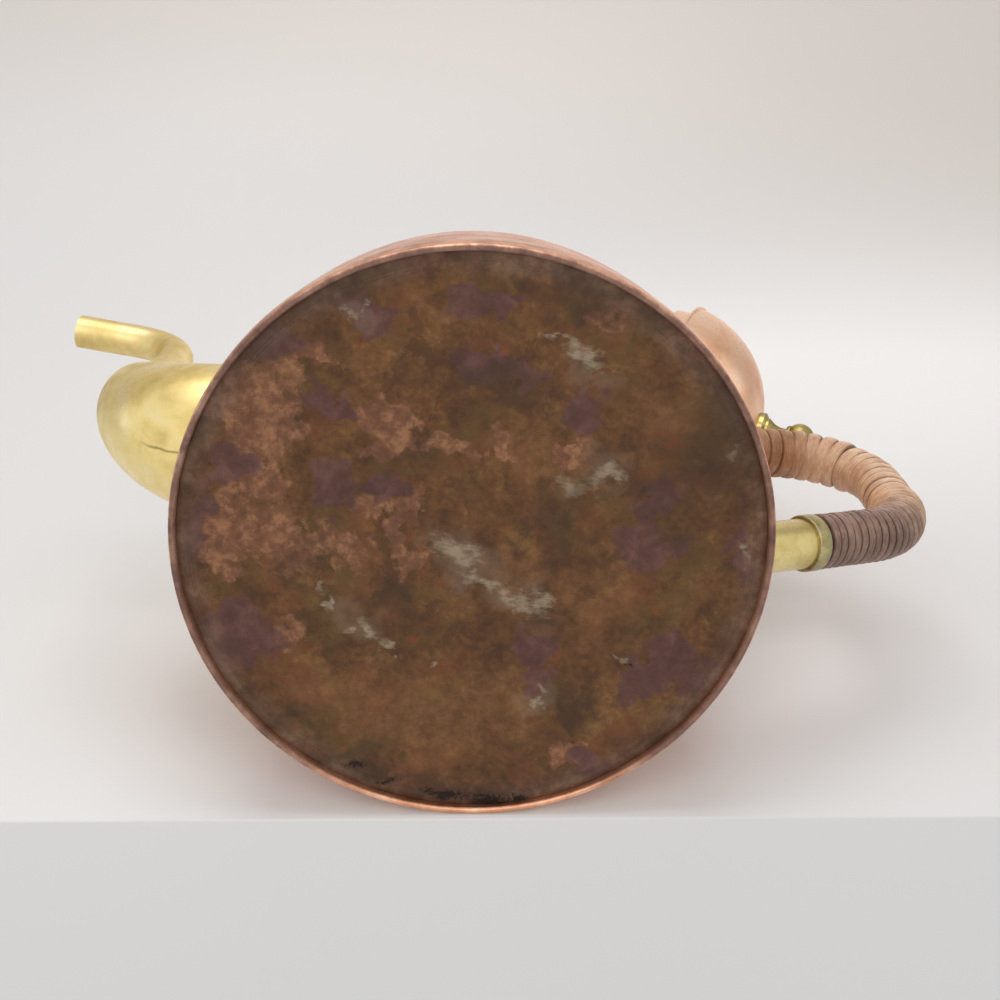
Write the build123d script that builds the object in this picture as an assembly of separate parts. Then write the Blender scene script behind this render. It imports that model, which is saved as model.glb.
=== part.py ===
from build123d import *
import os
from math import atan2, cos, degrees, hypot, pi, radians, sin, sqrt

# A copper kettle-shaped teapot that stands on its folded foot rim. Millimetres, Z up,
# origin at the centre of the foot on the surface it stands on. The spout points along +X,
# the handle along -X, and the lid is modelled open, as it is used for filling.

# Driving dimensions of the pot
sheet = 1.2                 # thickness of the copper sheet
foot_radius = 82.0          # outside of the folded rim round the base
foot_width = 2.0            # thickness of the folded rim
foot_height = 9.0
base_recess = 2.4           # how far the base plate sits above the foot
waist_radius = 69.5         # where the side meets the shoulder
waist_height = 88.0
side_bulge = 1.6            # how far the side swells past a straight cone
shoulder_radius = 40.6      # where the shoulder meets the mouth ring
shoulder_height = 115.4
side_start_radius = 81.4

# Mouth and lid
mouth_radius = 37.0
mouth_wall = 1.6
mouth_top = 118.4
mouth_depth = 11.0
lid_radius = 39.0
lid_flat = 0.8              # width of the flat margin round the dome
lid_dome_height = 32.5
lid_gap = 0.4
skirt_gap = 0.9
skirt_depth = 7.0

# Hinge
pin_offset = 57.0           # distance of the pin from the middle of the pot
pin_radius = 1.5
pin_length = 25.0
knuckle_radius = 3.2
knuckle_width = 9.4         # the middle knuckle, on the lid
knuckle_gap = 0.3
pin_fit = 0.05
strap_thickness = 1.5
open_angle = 112.0

# Finial
ball_radius = 5.2
ball_height = 47.5          # centre of the ball above the underside of the lid
stem_radius = 2.6

# Spout
spout_start = 66.0          # where its middle line starts, inside the side
spout_root_height = 60.0
spout_root_radius = 24.0
spout_tip_radius = 5.9
spout_wall = 1.3
spout_narrow = 100.0        # distance along the spout over which it draws in
spout_rise = 12.0           # slope of the root, degrees
spout_steepest = 90.0       # slope of the neck, degrees
spout_tip_slope = 8.0
spout_root_run = 14.0
spout_first_bend = 34.0
spout_neck_run = 48.0
spout_second_bend = 20.0
spout_tip_run = 21.8
spout_joint = 66.0          # distance along the spout where root and neck are joined

# Handle
core_radius = 5.0
grip_wire = 3.0             # thickness of the wound cane strand
grip_clearance = 0.4
grip_turns = 24
grip_ease = 5.0             # travel of the strand's first and last quarter turn
grip_start_angle = 90.0     # where round the handle the strand starts
handle_reach = 138.6        # middle of the grip at its farthest from the axis
handle_low_height = 27.0
handle_low_slope = 33.0
handle_low_bend = 36.0
handle_top_height = 133.0
handle_top_bend = 24.0
handle_top_slope = 16.0     # fall of the upper arm where the grip ends, degrees
handle_drop_bend = 34.0
handle_drop_slope = 58.0    # fall of the upper arm where it lands on the shoulder
handle_foot_run = 20.0
socket_radius = 7.5
socket_length = 21.5
collar_radius = 8.5
collar_length = 5.0
upper_straight = 1.0        # straight stretch of the upper socket before it bends down
grip_slope_run = 12.0       # length of cane on the falling part of the upper arm
hinge_clear = 61.0          # the upper socket is cut flat this far from the axis, behind the hinge

plate_thickness = 1.4
low_plate_radius = 15.0
top_plate_half_width = 13.5
rivet_radius = 1.5
rivet_head = 2.7
rivet_head_height = 1.5
rivet_tail_height = 0.9


def arc_frame(start, end, bulge):
    """Centre and radius of the arc between two (radius, height) points that swells by bulge."""
    dx, dz = end[0] - start[0], end[1] - start[1]
    chord = hypot(dx, dz)
    radius = (chord * chord / 4 + bulge * bulge) / (2 * bulge)
    nx, nz = dz / chord, -dx / chord
    mid = ((start[0] + end[0]) / 2, (start[1] + end[1]) / 2)
    return (mid[0] - nx * (radius - bulge), mid[1] - nz * (radius - bulge)), radius


def arc_band(centre, radius, start, end, inner, outer):
    """Section between two arcs round one centre, offset by inner and outer from the radius."""
    a0 = atan2(start[1] - centre[1], start[0] - centre[0])
    a1 = atan2(end[1] - centre[1], end[0] - centre[0])

    def at(angle, rad):
        return (centre[0] + rad * cos(angle), 0, centre[1] + rad * sin(angle))

    low, high = radius + inner, radius + outer
    am = (a0 + a1) / 2
    edges = [
        ThreePointArc(at(a0, high), at(am, high), at(a1, high)),
        Line(at(a1, high), at(a1, low)),
        ThreePointArc(at(a1, low), at(am, low), at(a0, low)),
        Line(at(a0, low), at(a0, high)),
    ]
    return make_face(edges)


def turned(face):
    """Solid made by turning a section round the pot's own axis."""
    return revolve(face, Axis.Z, 360)


def ring(inner, outer, low, high):
    """Plain ring round the Z axis."""
    points = [(inner, 0, low), (outer, 0, low), (outer, 0, high), (inner, 0, high)]
    return turned(make_face(Polyline(*points, close=True)))


def rod(start, end, radius):
    """Straight round bar between two points."""
    path = Vector(*end) - Vector(*start)
    return extrude(Plane(Vector(*start), z_dir=path) * Circle(radius), path.length)


def tube(start, end, inner, outer):
    """Straight round tube between two points."""
    return rod(start, end, outer) - rod(start, end, inner)


side_start = (side_start_radius, foot_height)
waist = (waist_radius, waist_height)
shoulder_end = (shoulder_radius, shoulder_height)
side_centre, side_radius = arc_frame(side_start, waist, side_bulge)


def shoulder_frame():
    """Centre and radius of the shoulder arc, which leaves the side smoothly."""
    nx = (waist[0] - side_centre[0]) / side_radius
    nz = (waist[1] - side_centre[1]) / side_radius
    dx, dz = shoulder_end[0] - waist[0], shoulder_end[1] - waist[1]
    radius = -(dx * dx + dz * dz) / (2 * (dx * nx + dz * nz))
    return (waist[0] - nx * radius, waist[1] - nz * radius), radius


shoulder_centre, shoulder_arc = shoulder_frame()


def side_skin(inner, outer):
    """Layer of the side, between two offsets from its outer face."""
    return turned(arc_band(side_centre, side_radius, side_start, waist, inner, outer))


def shoulder_skin(inner, outer):
    """Layer of the shoulder, between two offsets from its outer face."""
    return turned(arc_band(shoulder_centre, shoulder_arc, waist, shoulder_end, inner, outer))


def envelope():
    """The pot's outer shape, filled, for cutting whatever is fixed to it."""
    angle = (atan2(side_start[1] - side_centre[1], side_start[0] - side_centre[0])
             + atan2(waist[1] - side_centre[1], waist[0] - side_centre[0])) / 2
    mid_side = (side_centre[0] + side_radius * cos(angle), 0, side_centre[1] + side_radius * sin(angle))
    angle = (atan2(waist[1] - shoulder_centre[1], waist[0] - shoulder_centre[0])
             + atan2(shoulder_end[1] - shoulder_centre[1], shoulder_end[0] - shoulder_centre[0])) / 2
    mid_shoulder = (shoulder_centre[0] + shoulder_arc * cos(angle), 0,
                    shoulder_centre[1] + shoulder_arc * sin(angle))
    low, knee, high = (side_start[0], 0, side_start[1]), (waist[0], 0, waist[1]), \
        (shoulder_end[0], 0, shoulder_end[1])
    edges = [
        ThreePointArc(low, mid_side, knee),
        ThreePointArc(knee, mid_shoulder, high),
        Line(high, (0, 0, high[2])),
        Line((0, 0, high[2]), (0, 0, low[2])),
        Line((0, 0, low[2]), low),
    ]
    return turned(make_face(edges))


def side_x(height):
    """Outer radius of the side at a height."""
    return side_centre[0] + sqrt(side_radius ** 2 - (height - side_centre[1]) ** 2)


def shoulder_z(radius):
    """Height of the shoulder's outer face at a radius."""
    return shoulder_centre[1] + sqrt(shoulder_arc ** 2 - (radius - shoulder_centre[0]) ** 2)


pot_shape = envelope()


# Spout and handle each follow a middle line in the X-Z plane: straight runs and bends in turn

def run_length(run):
    """Length of one run, which is (length, 0) when straight or (radius, turn) when bent."""
    size, turn = run
    return size if turn == 0 else size * abs(radians(turn))


def follow(start, slope, runs, distance):
    """Place and direction angle at a distance along a middle line."""
    x, z = start
    angle = radians(slope)
    left = distance
    for run in runs:
        size, turn = run
        step = min(left, run_length(run))
        if turn == 0:
            x += step * cos(angle)
            z += step * sin(angle)
        else:
            way = 1 if turn > 0 else -1
            after = angle + way * step / size
            x += way * size * (sin(after) - sin(angle))
            z -= way * size * (cos(after) - cos(angle))
            angle = after
        left -= step
        if left <= 0:
            break
    return x, z, angle


spout_runs = [
    (spout_root_run, 0),
    (spout_first_bend, spout_steepest - spout_rise),
    (spout_neck_run, 0),
    (spout_second_bend, spout_tip_slope - spout_steepest),
    (spout_tip_run, 0),
]
spout_length = sum(run_length(run) for run in spout_runs)


def spout_at(distance):
    """Place and direction of the spout's middle line at a distance from its root."""
    return follow((spout_start, spout_root_height), spout_rise, spout_runs, distance)


def spout_radius(distance):
    """Outer radius of the spout: a full root that draws in to a slender neck."""
    part = min(1.0, distance / spout_narrow)
    return spout_tip_radius + (spout_root_radius - spout_tip_radius) * (1 + cos(pi * part)) / 2


def spout_loft(first, last, steps, inset):
    """Round loft along the spout between two distances, drawn in by inset."""
    rings = []
    for index in range(steps + 1):
        distance = first + (last - first) * index / steps
        x, z, angle = spout_at(distance)
        plane = Plane((x, 0, z), x_dir=(0, 1, 0), z_dir=(cos(angle), 0, sin(angle)))
        rings.append(plane * Circle(spout_radius(distance) - inset))
    return loft(rings)


def handle_runs():
    """Runs of the handle's middle line, from the side, round the back, to the shoulder."""
    slope = radians(handle_low_slope)
    low_run = (handle_reach - side_x(handle_low_height) - handle_low_bend * (1 - sin(slope))) / cos(slope)
    rise = handle_low_height + low_run * sin(slope) + handle_low_bend * cos(slope)
    return [
        (low_run, 0),
        (handle_low_bend, handle_low_slope - 90),
        (handle_top_height - handle_top_bend - rise, 0),
        (handle_top_bend, -90 - handle_top_slope),
        (grip_slope_run + collar_length + upper_straight, 0),
        (handle_drop_bend, handle_top_slope - handle_drop_slope),
        (handle_foot_run, 0),
    ]


def handle_at(distance):
    """Place and direction of the handle's middle line at a distance from the side."""
    start = (-side_x(handle_low_height), handle_low_height)
    return follow(start, 180 - handle_low_slope, handle_runs(), distance)


grip_start = socket_length + collar_length
grip_end = sum(run_length(run) for run in handle_runs()[:4]) + grip_slope_run
grip_radius = core_radius + grip_clearance + grip_wire / 2


def grip_frame(distance):
    """Middle point, forward direction and outward direction on the handle at a distance."""
    x, z, angle = handle_at(distance)
    forward = Vector(cos(angle), 0, sin(angle))
    outward = Vector(-sin(angle), 0, cos(angle))
    return Vector(x, 0, z), forward, outward


def strand_stations():
    """Points and directions of the cane strand at each quarter turn round the handle."""
    first, last = grip_start + grip_wire, grip_end - grip_wire
    quarters = 4 * grip_turns
    step = (last - first - 2 * grip_ease) / (quarters - 2)
    points, ways = [], []
    for quarter in range(quarters + 1):
        if quarter == 0:
            distance = first
        elif quarter == quarters:
            distance = last
        else:
            distance = first + grip_ease + step * (quarter - 1)
        turn = radians(grip_start_angle) + quarter * pi / 2
        middle, forward, outward = grip_frame(distance)
        side = Vector(0, 1, 0)
        arm = outward * cos(turn) + side * sin(turn)
        round_way = side * cos(turn) - outward * sin(turn)
        points.append(middle + arm * grip_radius)
        if quarter in (0, quarters):
            ways.append(forward)
        else:
            ways.append((round_way * (grip_radius * pi / 2) + forward * step).normalized())
    return points, ways


def biarc(start, start_way, end, end_way):
    """Two arcs that meet smoothly and join two points with their directions."""
    span = end - start
    both = start_way + end_way
    spread = 2 * (1 - start_way.dot(end_way))
    along = span.dot(both)
    reach = (sqrt(along * along + spread * span.dot(span)) - along) / spread
    meet = (start + end + (start_way - end_way) * reach) * 0.5
    meet_way = (span - both * reach).normalized()
    return [TangentArc(start, meet, tangent=start_way), TangentArc(meet, end, tangent=meet_way)]


def strand_path():
    """The whole strand: straight out of the lower collar, round the handle, into the upper one."""
    points, ways = strand_stations()
    edges = [Line(points[0] - ways[0] * grip_wire, points[0])]
    for index in range(len(points) - 1):
        edges += biarc(points[index], ways[index], points[index + 1], ways[index + 1])
    edges.append(Line(points[-1], points[-1] + ways[-1] * grip_wire))
    return Wire(edges)


def least_gap(wire, thickness):
    """Least free gap between the turns of a wound strand, measured on points."""
    count = int(wire.length / 1.2)
    points = [wire.position_at(index / count) for index in range(count + 1)]
    apart = wire.length / count
    skip = int(pi * grip_radius / apart)
    least = 1e9
    for index, point in enumerate(points):
        for other in points[index + skip:index + 5 * skip]:
            least = min(least, (other - point).length)
    return least - thickness


def make_strand():
    """The cane strand as one unbroken tube."""
    path = strand_path()
    print("strand length", round(path.length, 1), "least gap", round(least_gap(path, grip_wire), 2))
    start = path.position_at(0)
    section = Plane(start, z_dir=path.tangent_at(0)) * Circle(grip_wire / 2)
    return sweep(section, path=path)


# Rivets: a shank through plate and sheet, a rounded head outside and a flat tail inside

def rivet(place, outward, through):
    """Rivet whose head sits at a place on the outside and faces outward."""
    shank = rod(place - outward * through, place, rivet_radius)
    head = rod(place, place + outward * rivet_head_height, rivet_head)
    crown = head.edges().filter_by(GeomType.CIRCLE).sort_by(lambda edge: edge.center().dot(outward))[-1]
    head = fillet(crown, rivet_head_height * 0.75)
    inside = place - outward * through
    tail = rod(inside - outward * rivet_tail_height, inside, rivet_head * 0.9)
    return shank + head + tail


def side_place(height, spread, lift):
    """Place on the side behind the handle, spread sideways, lifted off the sheet, and its normal."""
    radius = side_x(height) + lift
    angle = pi - spread / radius
    return Vector(radius * cos(angle), radius * sin(angle), height), Vector(cos(angle), sin(angle), 0)


def shoulder_place(radius, spread, lift):
    """The same on the shoulder, at a radius from the axis."""
    nx = (radius - shoulder_centre[0]) / shoulder_arc
    nz = (shoulder_z(radius) - shoulder_centre[1]) / shoulder_arc
    angle = pi - spread / radius
    far = radius + nx * lift
    outward = Vector(nx * cos(angle), nx * sin(angle), nz)
    return Vector(far * cos(angle), far * sin(angle), shoulder_z(radius) + nz * lift), outward


# Pot: the folded foot, the base, the side, the shoulder and the mouth

low_rivets = [side_place(handle_low_height, spread, plate_thickness) for spread in (-11.0, 11.0)]
top_rivets = [shoulder_place(65.6, spread, plate_thickness) for spread in (-10.2, 10.2)]
hinge_rivets = [shoulder_place(50.2, spread, plate_thickness) for spread in (-8.6, 8.6)]
grip_through = plate_thickness + sheet
spout_way = Vector(cos(radians(spout_rise)), 0, sin(radians(spout_rise)))
spout_root = Vector(spout_start, 0, spout_root_height)
spout_hole_radius = spout_root_radius - 5.0


def rivet_holes(places):
    """Bars that drill the holes of a group of rivets."""
    return [rod(place - way * 2 * grip_through, place, rivet_radius) for place, way in places]


def make_base_rim():
    """Folded rim round the base, rounded at its outer edges."""
    band = ring(foot_radius - foot_width, foot_radius, 0, foot_height)
    rims = [edge for edge in band.edges().filter_by(GeomType.CIRCLE) if edge.radius > foot_radius - 0.1]
    return fillet(rims, foot_width * 0.35)


def make_base_plate():
    """Base disc set up inside the rim, with its edge turned up for the seam."""
    edge = foot_radius - foot_width
    disc = rod((0, 0, base_recess), (0, 0, base_recess + sheet), edge)
    return disc + ring(edge - sheet, edge, base_recess + sheet, foot_height)


def make_side():
    """Side sheet, with the hole for the spout and the rivet holes of the lower plate."""
    skin = side_skin(-sheet, 0) - ring(foot_radius - 10, foot_radius, 0, foot_height)
    skin -= rod(spout_root - spout_way * 30, spout_root + spout_way * 30, spout_hole_radius)
    for hole in rivet_holes(low_rivets):
        skin -= hole
    return skin


def make_shoulder():
    """Shoulder sheet, with the rivet holes of the hinge and of the upper plate."""
    skin = shoulder_skin(-sheet, 0)
    for hole in rivet_holes(top_rivets + hinge_rivets):
        skin -= hole
    return skin


def make_mouth_ring():
    """Turned ring in the mouth, whose flange takes the edge of the shoulder."""
    outer = mouth_radius + mouth_wall
    collar = ring(mouth_radius, outer, mouth_top - mouth_depth, mouth_top)
    flange = ring(outer, shoulder_radius + 1.6, shoulder_height - 3.0, shoulder_height + 1.4)
    body = collar + flange - make_shoulder()
    top = [edge for edge in body.edges().filter_by(GeomType.CIRCLE)
           if abs(edge.center().Z - mouth_top) < 0.01 and edge.radius > mouth_radius + 0.5]
    return fillet(top, 0.6)


# Spout: the root, the neck and the flange that holds it to the side

root_steps = 8
neck_steps = 12


def make_spout_root():
    """Full lower part of the spout, hollow, cut to the side of the pot."""
    outer = spout_loft(0, spout_joint, root_steps, 0)
    inner = spout_loft(0, spout_joint, root_steps, spout_wall)
    return outer - inner - pot_shape


def make_spout_neck():
    """Slender upper part of the spout, hollow to the tip."""
    outer = spout_loft(spout_joint, spout_length, neck_steps, 0)
    inner = spout_loft(spout_joint, spout_length, neck_steps, spout_wall)
    return outer - inner


def make_spout_flange():
    """Curved plate round the spout's root, soldered to the side."""
    skin = side_skin(0, plate_thickness)
    disc = rod(spout_root, spout_root + spout_way * 30, spout_root_radius + 3.5)
    return (skin & disc) - spout_loft(0, spout_joint, root_steps, 0)


# Handle: core, wound cane, sockets, collars and the plates that carry them

def handle_edges(first, last):
    """Straight lines and arcs of the handle's middle line between two distances."""
    edges, reached = [], 0.0
    for run in handle_runs():
        start, end = max(first, reached), min(last, reached + run_length(run))
        reached += run_length(run)
        if end - start > 0.01:
            begin, way, _ = grip_frame(start)
            finish = grip_frame(end)[0]
            edges.append(Line(begin, finish) if run[1] == 0 else TangentArc(begin, finish, tangent=way))
    return Wire(edges)


def handle_bar(first, last, radius):
    """Round bar along the handle's middle line between two distances."""
    begin, way, _ = grip_frame(first)
    return sweep(Plane(begin, z_dir=way) * Circle(radius), path=handle_edges(first, last))


handle_length = sum(run_length(run) for run in handle_runs())


def make_handle_core():
    """Round bar bent to the handle's shape, its ends cut to the pot's plates."""
    bar = handle_bar(0, handle_length, core_radius)
    return bar - pot_shape - make_low_plate_blank() - make_top_plate_blank() - hinge_room()


def hinge_room():
    """Block in front of the upper socket that is left to the hinge."""
    block = Box(40, 60, 60, align=(Align.MIN, Align.CENTER, Align.CENTER))
    return block.moved(Location((-hinge_clear, 0, waist_height + 20)))


low_start = Vector(-side_x(handle_low_height), 0, handle_low_height)
low_way = Vector(-cos(radians(handle_low_slope)), 0, sin(radians(handle_low_slope)))


def make_low_plate_blank():
    """Round saddle plate on the side, before its holes."""
    disc = rod((-side_x(handle_low_height) + 8, 0, handle_low_height),
               (-side_x(handle_low_height) - 8, 0, handle_low_height), low_plate_radius)
    return side_skin(0, plate_thickness) & disc


def make_low_plate():
    """Saddle plate under the lower socket, drilled for its rivets."""
    plate = make_low_plate_blank()
    for hole in rivet_holes(low_rivets):
        plate -= hole
    return plate


def make_low_socket():
    """Tube that holds the lower end of the core, standing on its plate."""
    body = tube(low_start - low_way * 4, low_start + low_way * socket_length, core_radius, socket_radius)
    return body - pot_shape - make_low_plate_blank()


def make_low_collar():
    """Turned ring at the end of the lower socket, where the cane starts."""
    start = low_start + low_way * socket_length
    band = tube(start, start + low_way * collar_length, core_radius, collar_radius)
    rims = [edge for edge in band.edges().filter_by(GeomType.CIRCLE) if edge.radius > collar_radius - 0.1]
    return fillet(rims, 0.7)


def make_top_plate_blank():
    """Saddle plate on the shoulder, before its holes."""
    block = Box(9.5, 2 * top_plate_half_width, 40).moved(Location((-65.6, 0, 105)))
    return shoulder_skin(0, plate_thickness) & block


def make_top_plate():
    """Saddle plate under the upper socket, drilled for its rivets."""
    plate = make_top_plate_blank()
    for hole in rivet_holes(top_rivets):
        plate -= hole
    return plate


def make_top_socket():
    """Tube that holds the upper end of the core and curves down to its plate."""
    start = grip_end + collar_length
    body = handle_bar(start, handle_length, socket_radius) - handle_bar(start, handle_length, core_radius)
    return body - pot_shape - make_top_plate_blank() - hinge_room()


def make_top_collar():
    """Turned ring at the end of the upper socket, where the cane ends."""
    start, way, _ = grip_frame(grip_end)
    band = tube(start, start + way * collar_length, core_radius, collar_radius)
    rims = [edge for edge in band.edges().filter_by(GeomType.CIRCLE) if edge.radius > collar_radius - 0.1]
    return fillet(rims, 0.7)


# Lid: modelled shut, then swung open about the hinge pin

lid_seat = mouth_top + lid_gap
dome_base = lid_radius - lid_flat
dome_rise = lid_dome_height - sheet
dome_radius = (dome_base ** 2 + dome_rise ** 2) / (2 * dome_rise)
dome_centre = lid_seat + lid_dome_height - dome_radius
crown = lid_seat + lid_dome_height
pin_height = lid_seat + sheet + strap_thickness / 2
pin_place = Vector(-pin_offset, 0, pin_height)
skirt_radius = mouth_radius - skirt_gap
tail_radius = 1.8
finial_seat = crown + 2.2
finial_foot_radius = 6.0
tongue_end = 50.4


def swung(shape):
    """Lid piece swung from shut to open about the hinge pin."""
    return shape.rotate(Axis(pin_place, (0, 1, 0)), -open_angle)


def dome_point(radius, inset):
    """Point of the dome's outer face, or of a face set in from it, at a radius."""
    return (radius, 0, dome_centre + sqrt((dome_radius - inset) ** 2 - radius ** 2))


def make_lid_dome():
    """Domed lid with a narrow margin and a tongue, drilled for the finial and the hinge rivets."""
    inner_base = sqrt((dome_radius - sheet) ** 2 - (lid_seat - dome_centre) ** 2)
    edges = [
        ThreePointArc(dome_point(0, 0), dome_point(dome_base / 2, 0), dome_point(dome_base, 0)),
        Polyline(dome_point(dome_base, 0), (lid_radius, 0, lid_seat + sheet), (lid_radius, 0, lid_seat),
                 dome_point(inner_base, sheet)),
        ThreePointArc(dome_point(inner_base, sheet), dome_point(inner_base / 2, sheet),
                      dome_point(0, sheet)),
        Line(dome_point(0, sheet), dome_point(0, 0)),
    ]
    body = turned(make_face(edges))
    rims = [edge for edge in body.edges().filter_by(GeomType.CIRCLE) if edge.radius > lid_radius - 0.1]
    body = fillet(rims, 0.4)
    tongue = Box(tongue_end - dome_base, 22, sheet, align=(Align.MAX, Align.CENTER, Align.MIN))
    tongue = tongue.moved(Location((-dome_base, 0, lid_seat)))
    body += tongue - rod((0, 0, lid_seat), (0, 0, crown), dome_base)
    body -= rod((0, 0, crown - 5), (0, 0, crown + 5), tail_radius)
    for place, way in lid_rivets:
        body -= rod(place - way * 10, place, rivet_radius)
    return body


def make_lid_skirt():
    """Ring under the lid that steadies it in the mouth."""
    return ring(skirt_radius - sheet, skirt_radius, lid_seat - skirt_depth, lid_seat)


def make_finial_base():
    """Small turned foot between the dome and the finial."""
    low, high = crown - 1.0, finial_seat
    points = [(0, 0, low), (finial_foot_radius, 0, low), (finial_foot_radius, 0, high - 1.0),
              (4.6, 0, high), (0, 0, high)]
    body = turned(make_face(Polyline(*points, close=True)))
    filled = turned(make_face([
        ThreePointArc(dome_point(0, 0), dome_point(dome_base / 2, 0), dome_point(dome_base, 0)),
        Polyline(dome_point(dome_base, 0), (0, 0, dome_point(dome_base, 0)[2]), dome_point(0, 0)),
    ]))
    return body - filled - rod((0, 0, low - 1), (0, 0, high + 1), tail_radius)


def make_finial():
    """Turned knob: a waisted stem, a bead and a ball, with a tail that goes through the lid."""
    ball = lid_seat + ball_height
    neck = ball - sqrt(ball_radius ** 2 - 2.2 ** 2)
    bead = finial_seat + 8.6
    edges = [
        Polyline((0, 0, finial_seat), (4.4, 0, finial_seat), (4.4, 0, finial_seat + 0.8)),
        ThreePointArc((4.4, 0, finial_seat + 0.8), (stem_radius, 0, finial_seat + 3.4),
                      (stem_radius - 0.4, 0, bead - 1.2)),
        ThreePointArc((stem_radius - 0.4, 0, bead - 1.2), (3.6, 0, bead),
                      (stem_radius - 0.4, 0, bead + 1.2)),
        Line((stem_radius - 0.4, 0, bead + 1.2), (2.2, 0, neck)),
        ThreePointArc((2.2, 0, neck), (ball_radius, 0, ball), (0, 0, ball + ball_radius)),
        Line((0, 0, ball + ball_radius), (0, 0, finial_seat)),
    ]
    knob = turned(make_face(edges))
    return knob + rod((0, 0, crown - sheet - 2.0), (0, 0, finial_seat), tail_radius)


def make_finial_washer():
    """Washer inside the lid, under the peened tail of the finial."""
    top = crown - sheet - 0.4
    return tube((0, 0, top - 1.2), (0, 0, top + 0.6), tail_radius, 6.0) - dome_filled_inside()


def dome_filled_inside():
    """The sheet of the dome as a solid layer, for fitting what lies against its inner face."""
    edges = [
        ThreePointArc(dome_point(0, 0), dome_point(10, 0), dome_point(20, 0)),
        Line(dome_point(20, 0), dome_point(20, sheet)),
        ThreePointArc(dome_point(20, sheet), dome_point(10, sheet), dome_point(0, sheet)),
        Line(dome_point(0, sheet), dome_point(0, 0)),
    ]
    return turned(make_face(edges))


# Hinge: a leaf on the shoulder, a leaf on the lid and one pin

corner = (Align.MIN, Align.CENTER, Align.MIN)
leaf_start = 41.4            # how near the strap comes to the middle of the lid
leaf_end = 50.0
leg_start = 106.0            # height below which the hinge's legs are inside the shoulder
stop_reach = 5.2
stop_radius = 1.2
stop_clear = 0.05
lid_rivet_x = 45.7
lid_rivets = [(Vector(-lid_rivet_x, spread, lid_seat + sheet + strap_thickness), Vector(0, 0, 1))
              for spread in (-7.5, 7.5)]


def cross_bar(place, radius, first, last):
    """Round bar along Y through a place."""
    return rod((place.X, first, place.Z), (place.X, last, place.Z), radius)


def make_hinge_lid_leaf():
    """Strap on the lid's tongue with the middle knuckle round the pin."""
    half = knuckle_width / 2
    level = lid_seat + sheet
    neck = Box(pin_offset - leaf_end + 0.5, knuckle_width, strap_thickness, align=corner)
    leaf = Box(leaf_end - leaf_start, 22, strap_thickness, align=corner)
    body = neck.moved(Location((-pin_offset, 0, level))) + leaf.moved(Location((-leaf_end, 0, level)))
    body += cross_bar(pin_place, knuckle_radius, -half, half)
    body -= cross_bar(pin_place, pin_radius + pin_fit, -half - 1, half + 1)
    for place, way in lid_rivets:
        body -= rod(place - way * 10, place, rivet_radius)
    return body


def make_hinge_body_leaf():
    """Foot on the shoulder, two knuckles on legs and a bar that stops the lid when open."""
    inner = knuckle_width / 2 + knuckle_gap
    outer = pin_length / 2
    foot = shoulder_skin(0, plate_thickness) & Box(13.6, 2 * outer, 40).moved(Location((-53.4, 0, 118)))
    swing = radians(open_angle) + asin_of((strap_thickness / 2 + stop_radius + stop_clear) / stop_reach)
    bar_place = pin_place + Vector(cos(swing), 0, sin(swing)) * stop_reach
    body = foot
    for side in (-1, 1):
        first, last = sorted((side * inner, side * outer))
        body += cross_bar(pin_place, knuckle_radius, first, last)
        leg = Box(2 * knuckle_radius, outer - inner, pin_height - leg_start)
        middle = (pin_height + leg_start) / 2
        body += leg.moved(Location((-pin_offset, side * (inner + outer) / 2, middle))) - pot_shape
        lug = Box(stop_reach, 3.0, 2 * stop_radius).rotate(Axis.Y, -degrees(swing))
        middle = (pin_place + bar_place) * 0.5
        body += lug.moved(Location((middle.X, side * (inner + 1.5), middle.Z)))
    body += cross_bar(bar_place, stop_radius, -inner - 3.0, inner + 3.0)
    body -= cross_bar(pin_place, pin_radius, -outer - 1, outer + 1)
    for hole in rivet_holes(hinge_rivets):
        body -= hole
    return body


def asin_of(value):
    """Angle whose sine is a value."""
    return atan2(value, sqrt(1 - value * value))


def make_hinge_pin():
    """Pin through all three knuckles."""
    return cross_bar(pin_place, pin_radius, -pin_length / 2 - 0.6, pin_length / 2 + 0.6)


def rivet_group(places, through, *layers):
    """Rivets at places, fitted to the layers of sheet that they hold."""
    rivets = []
    for place, way in places:
        solid = rivet(place, way, through)
        for layer in layers:
            solid -= layer
        rivets.append(solid)
    return rivets


def write(name, *solids):
    """Write one node's solids."""
    flat = []
    for solid in solids:
        flat += list(solid.solids())
    shape = flat[0] if len(flat) == 1 else Compound(children=flat)
    export_step(shape, f"parts/{name}.step")


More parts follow.
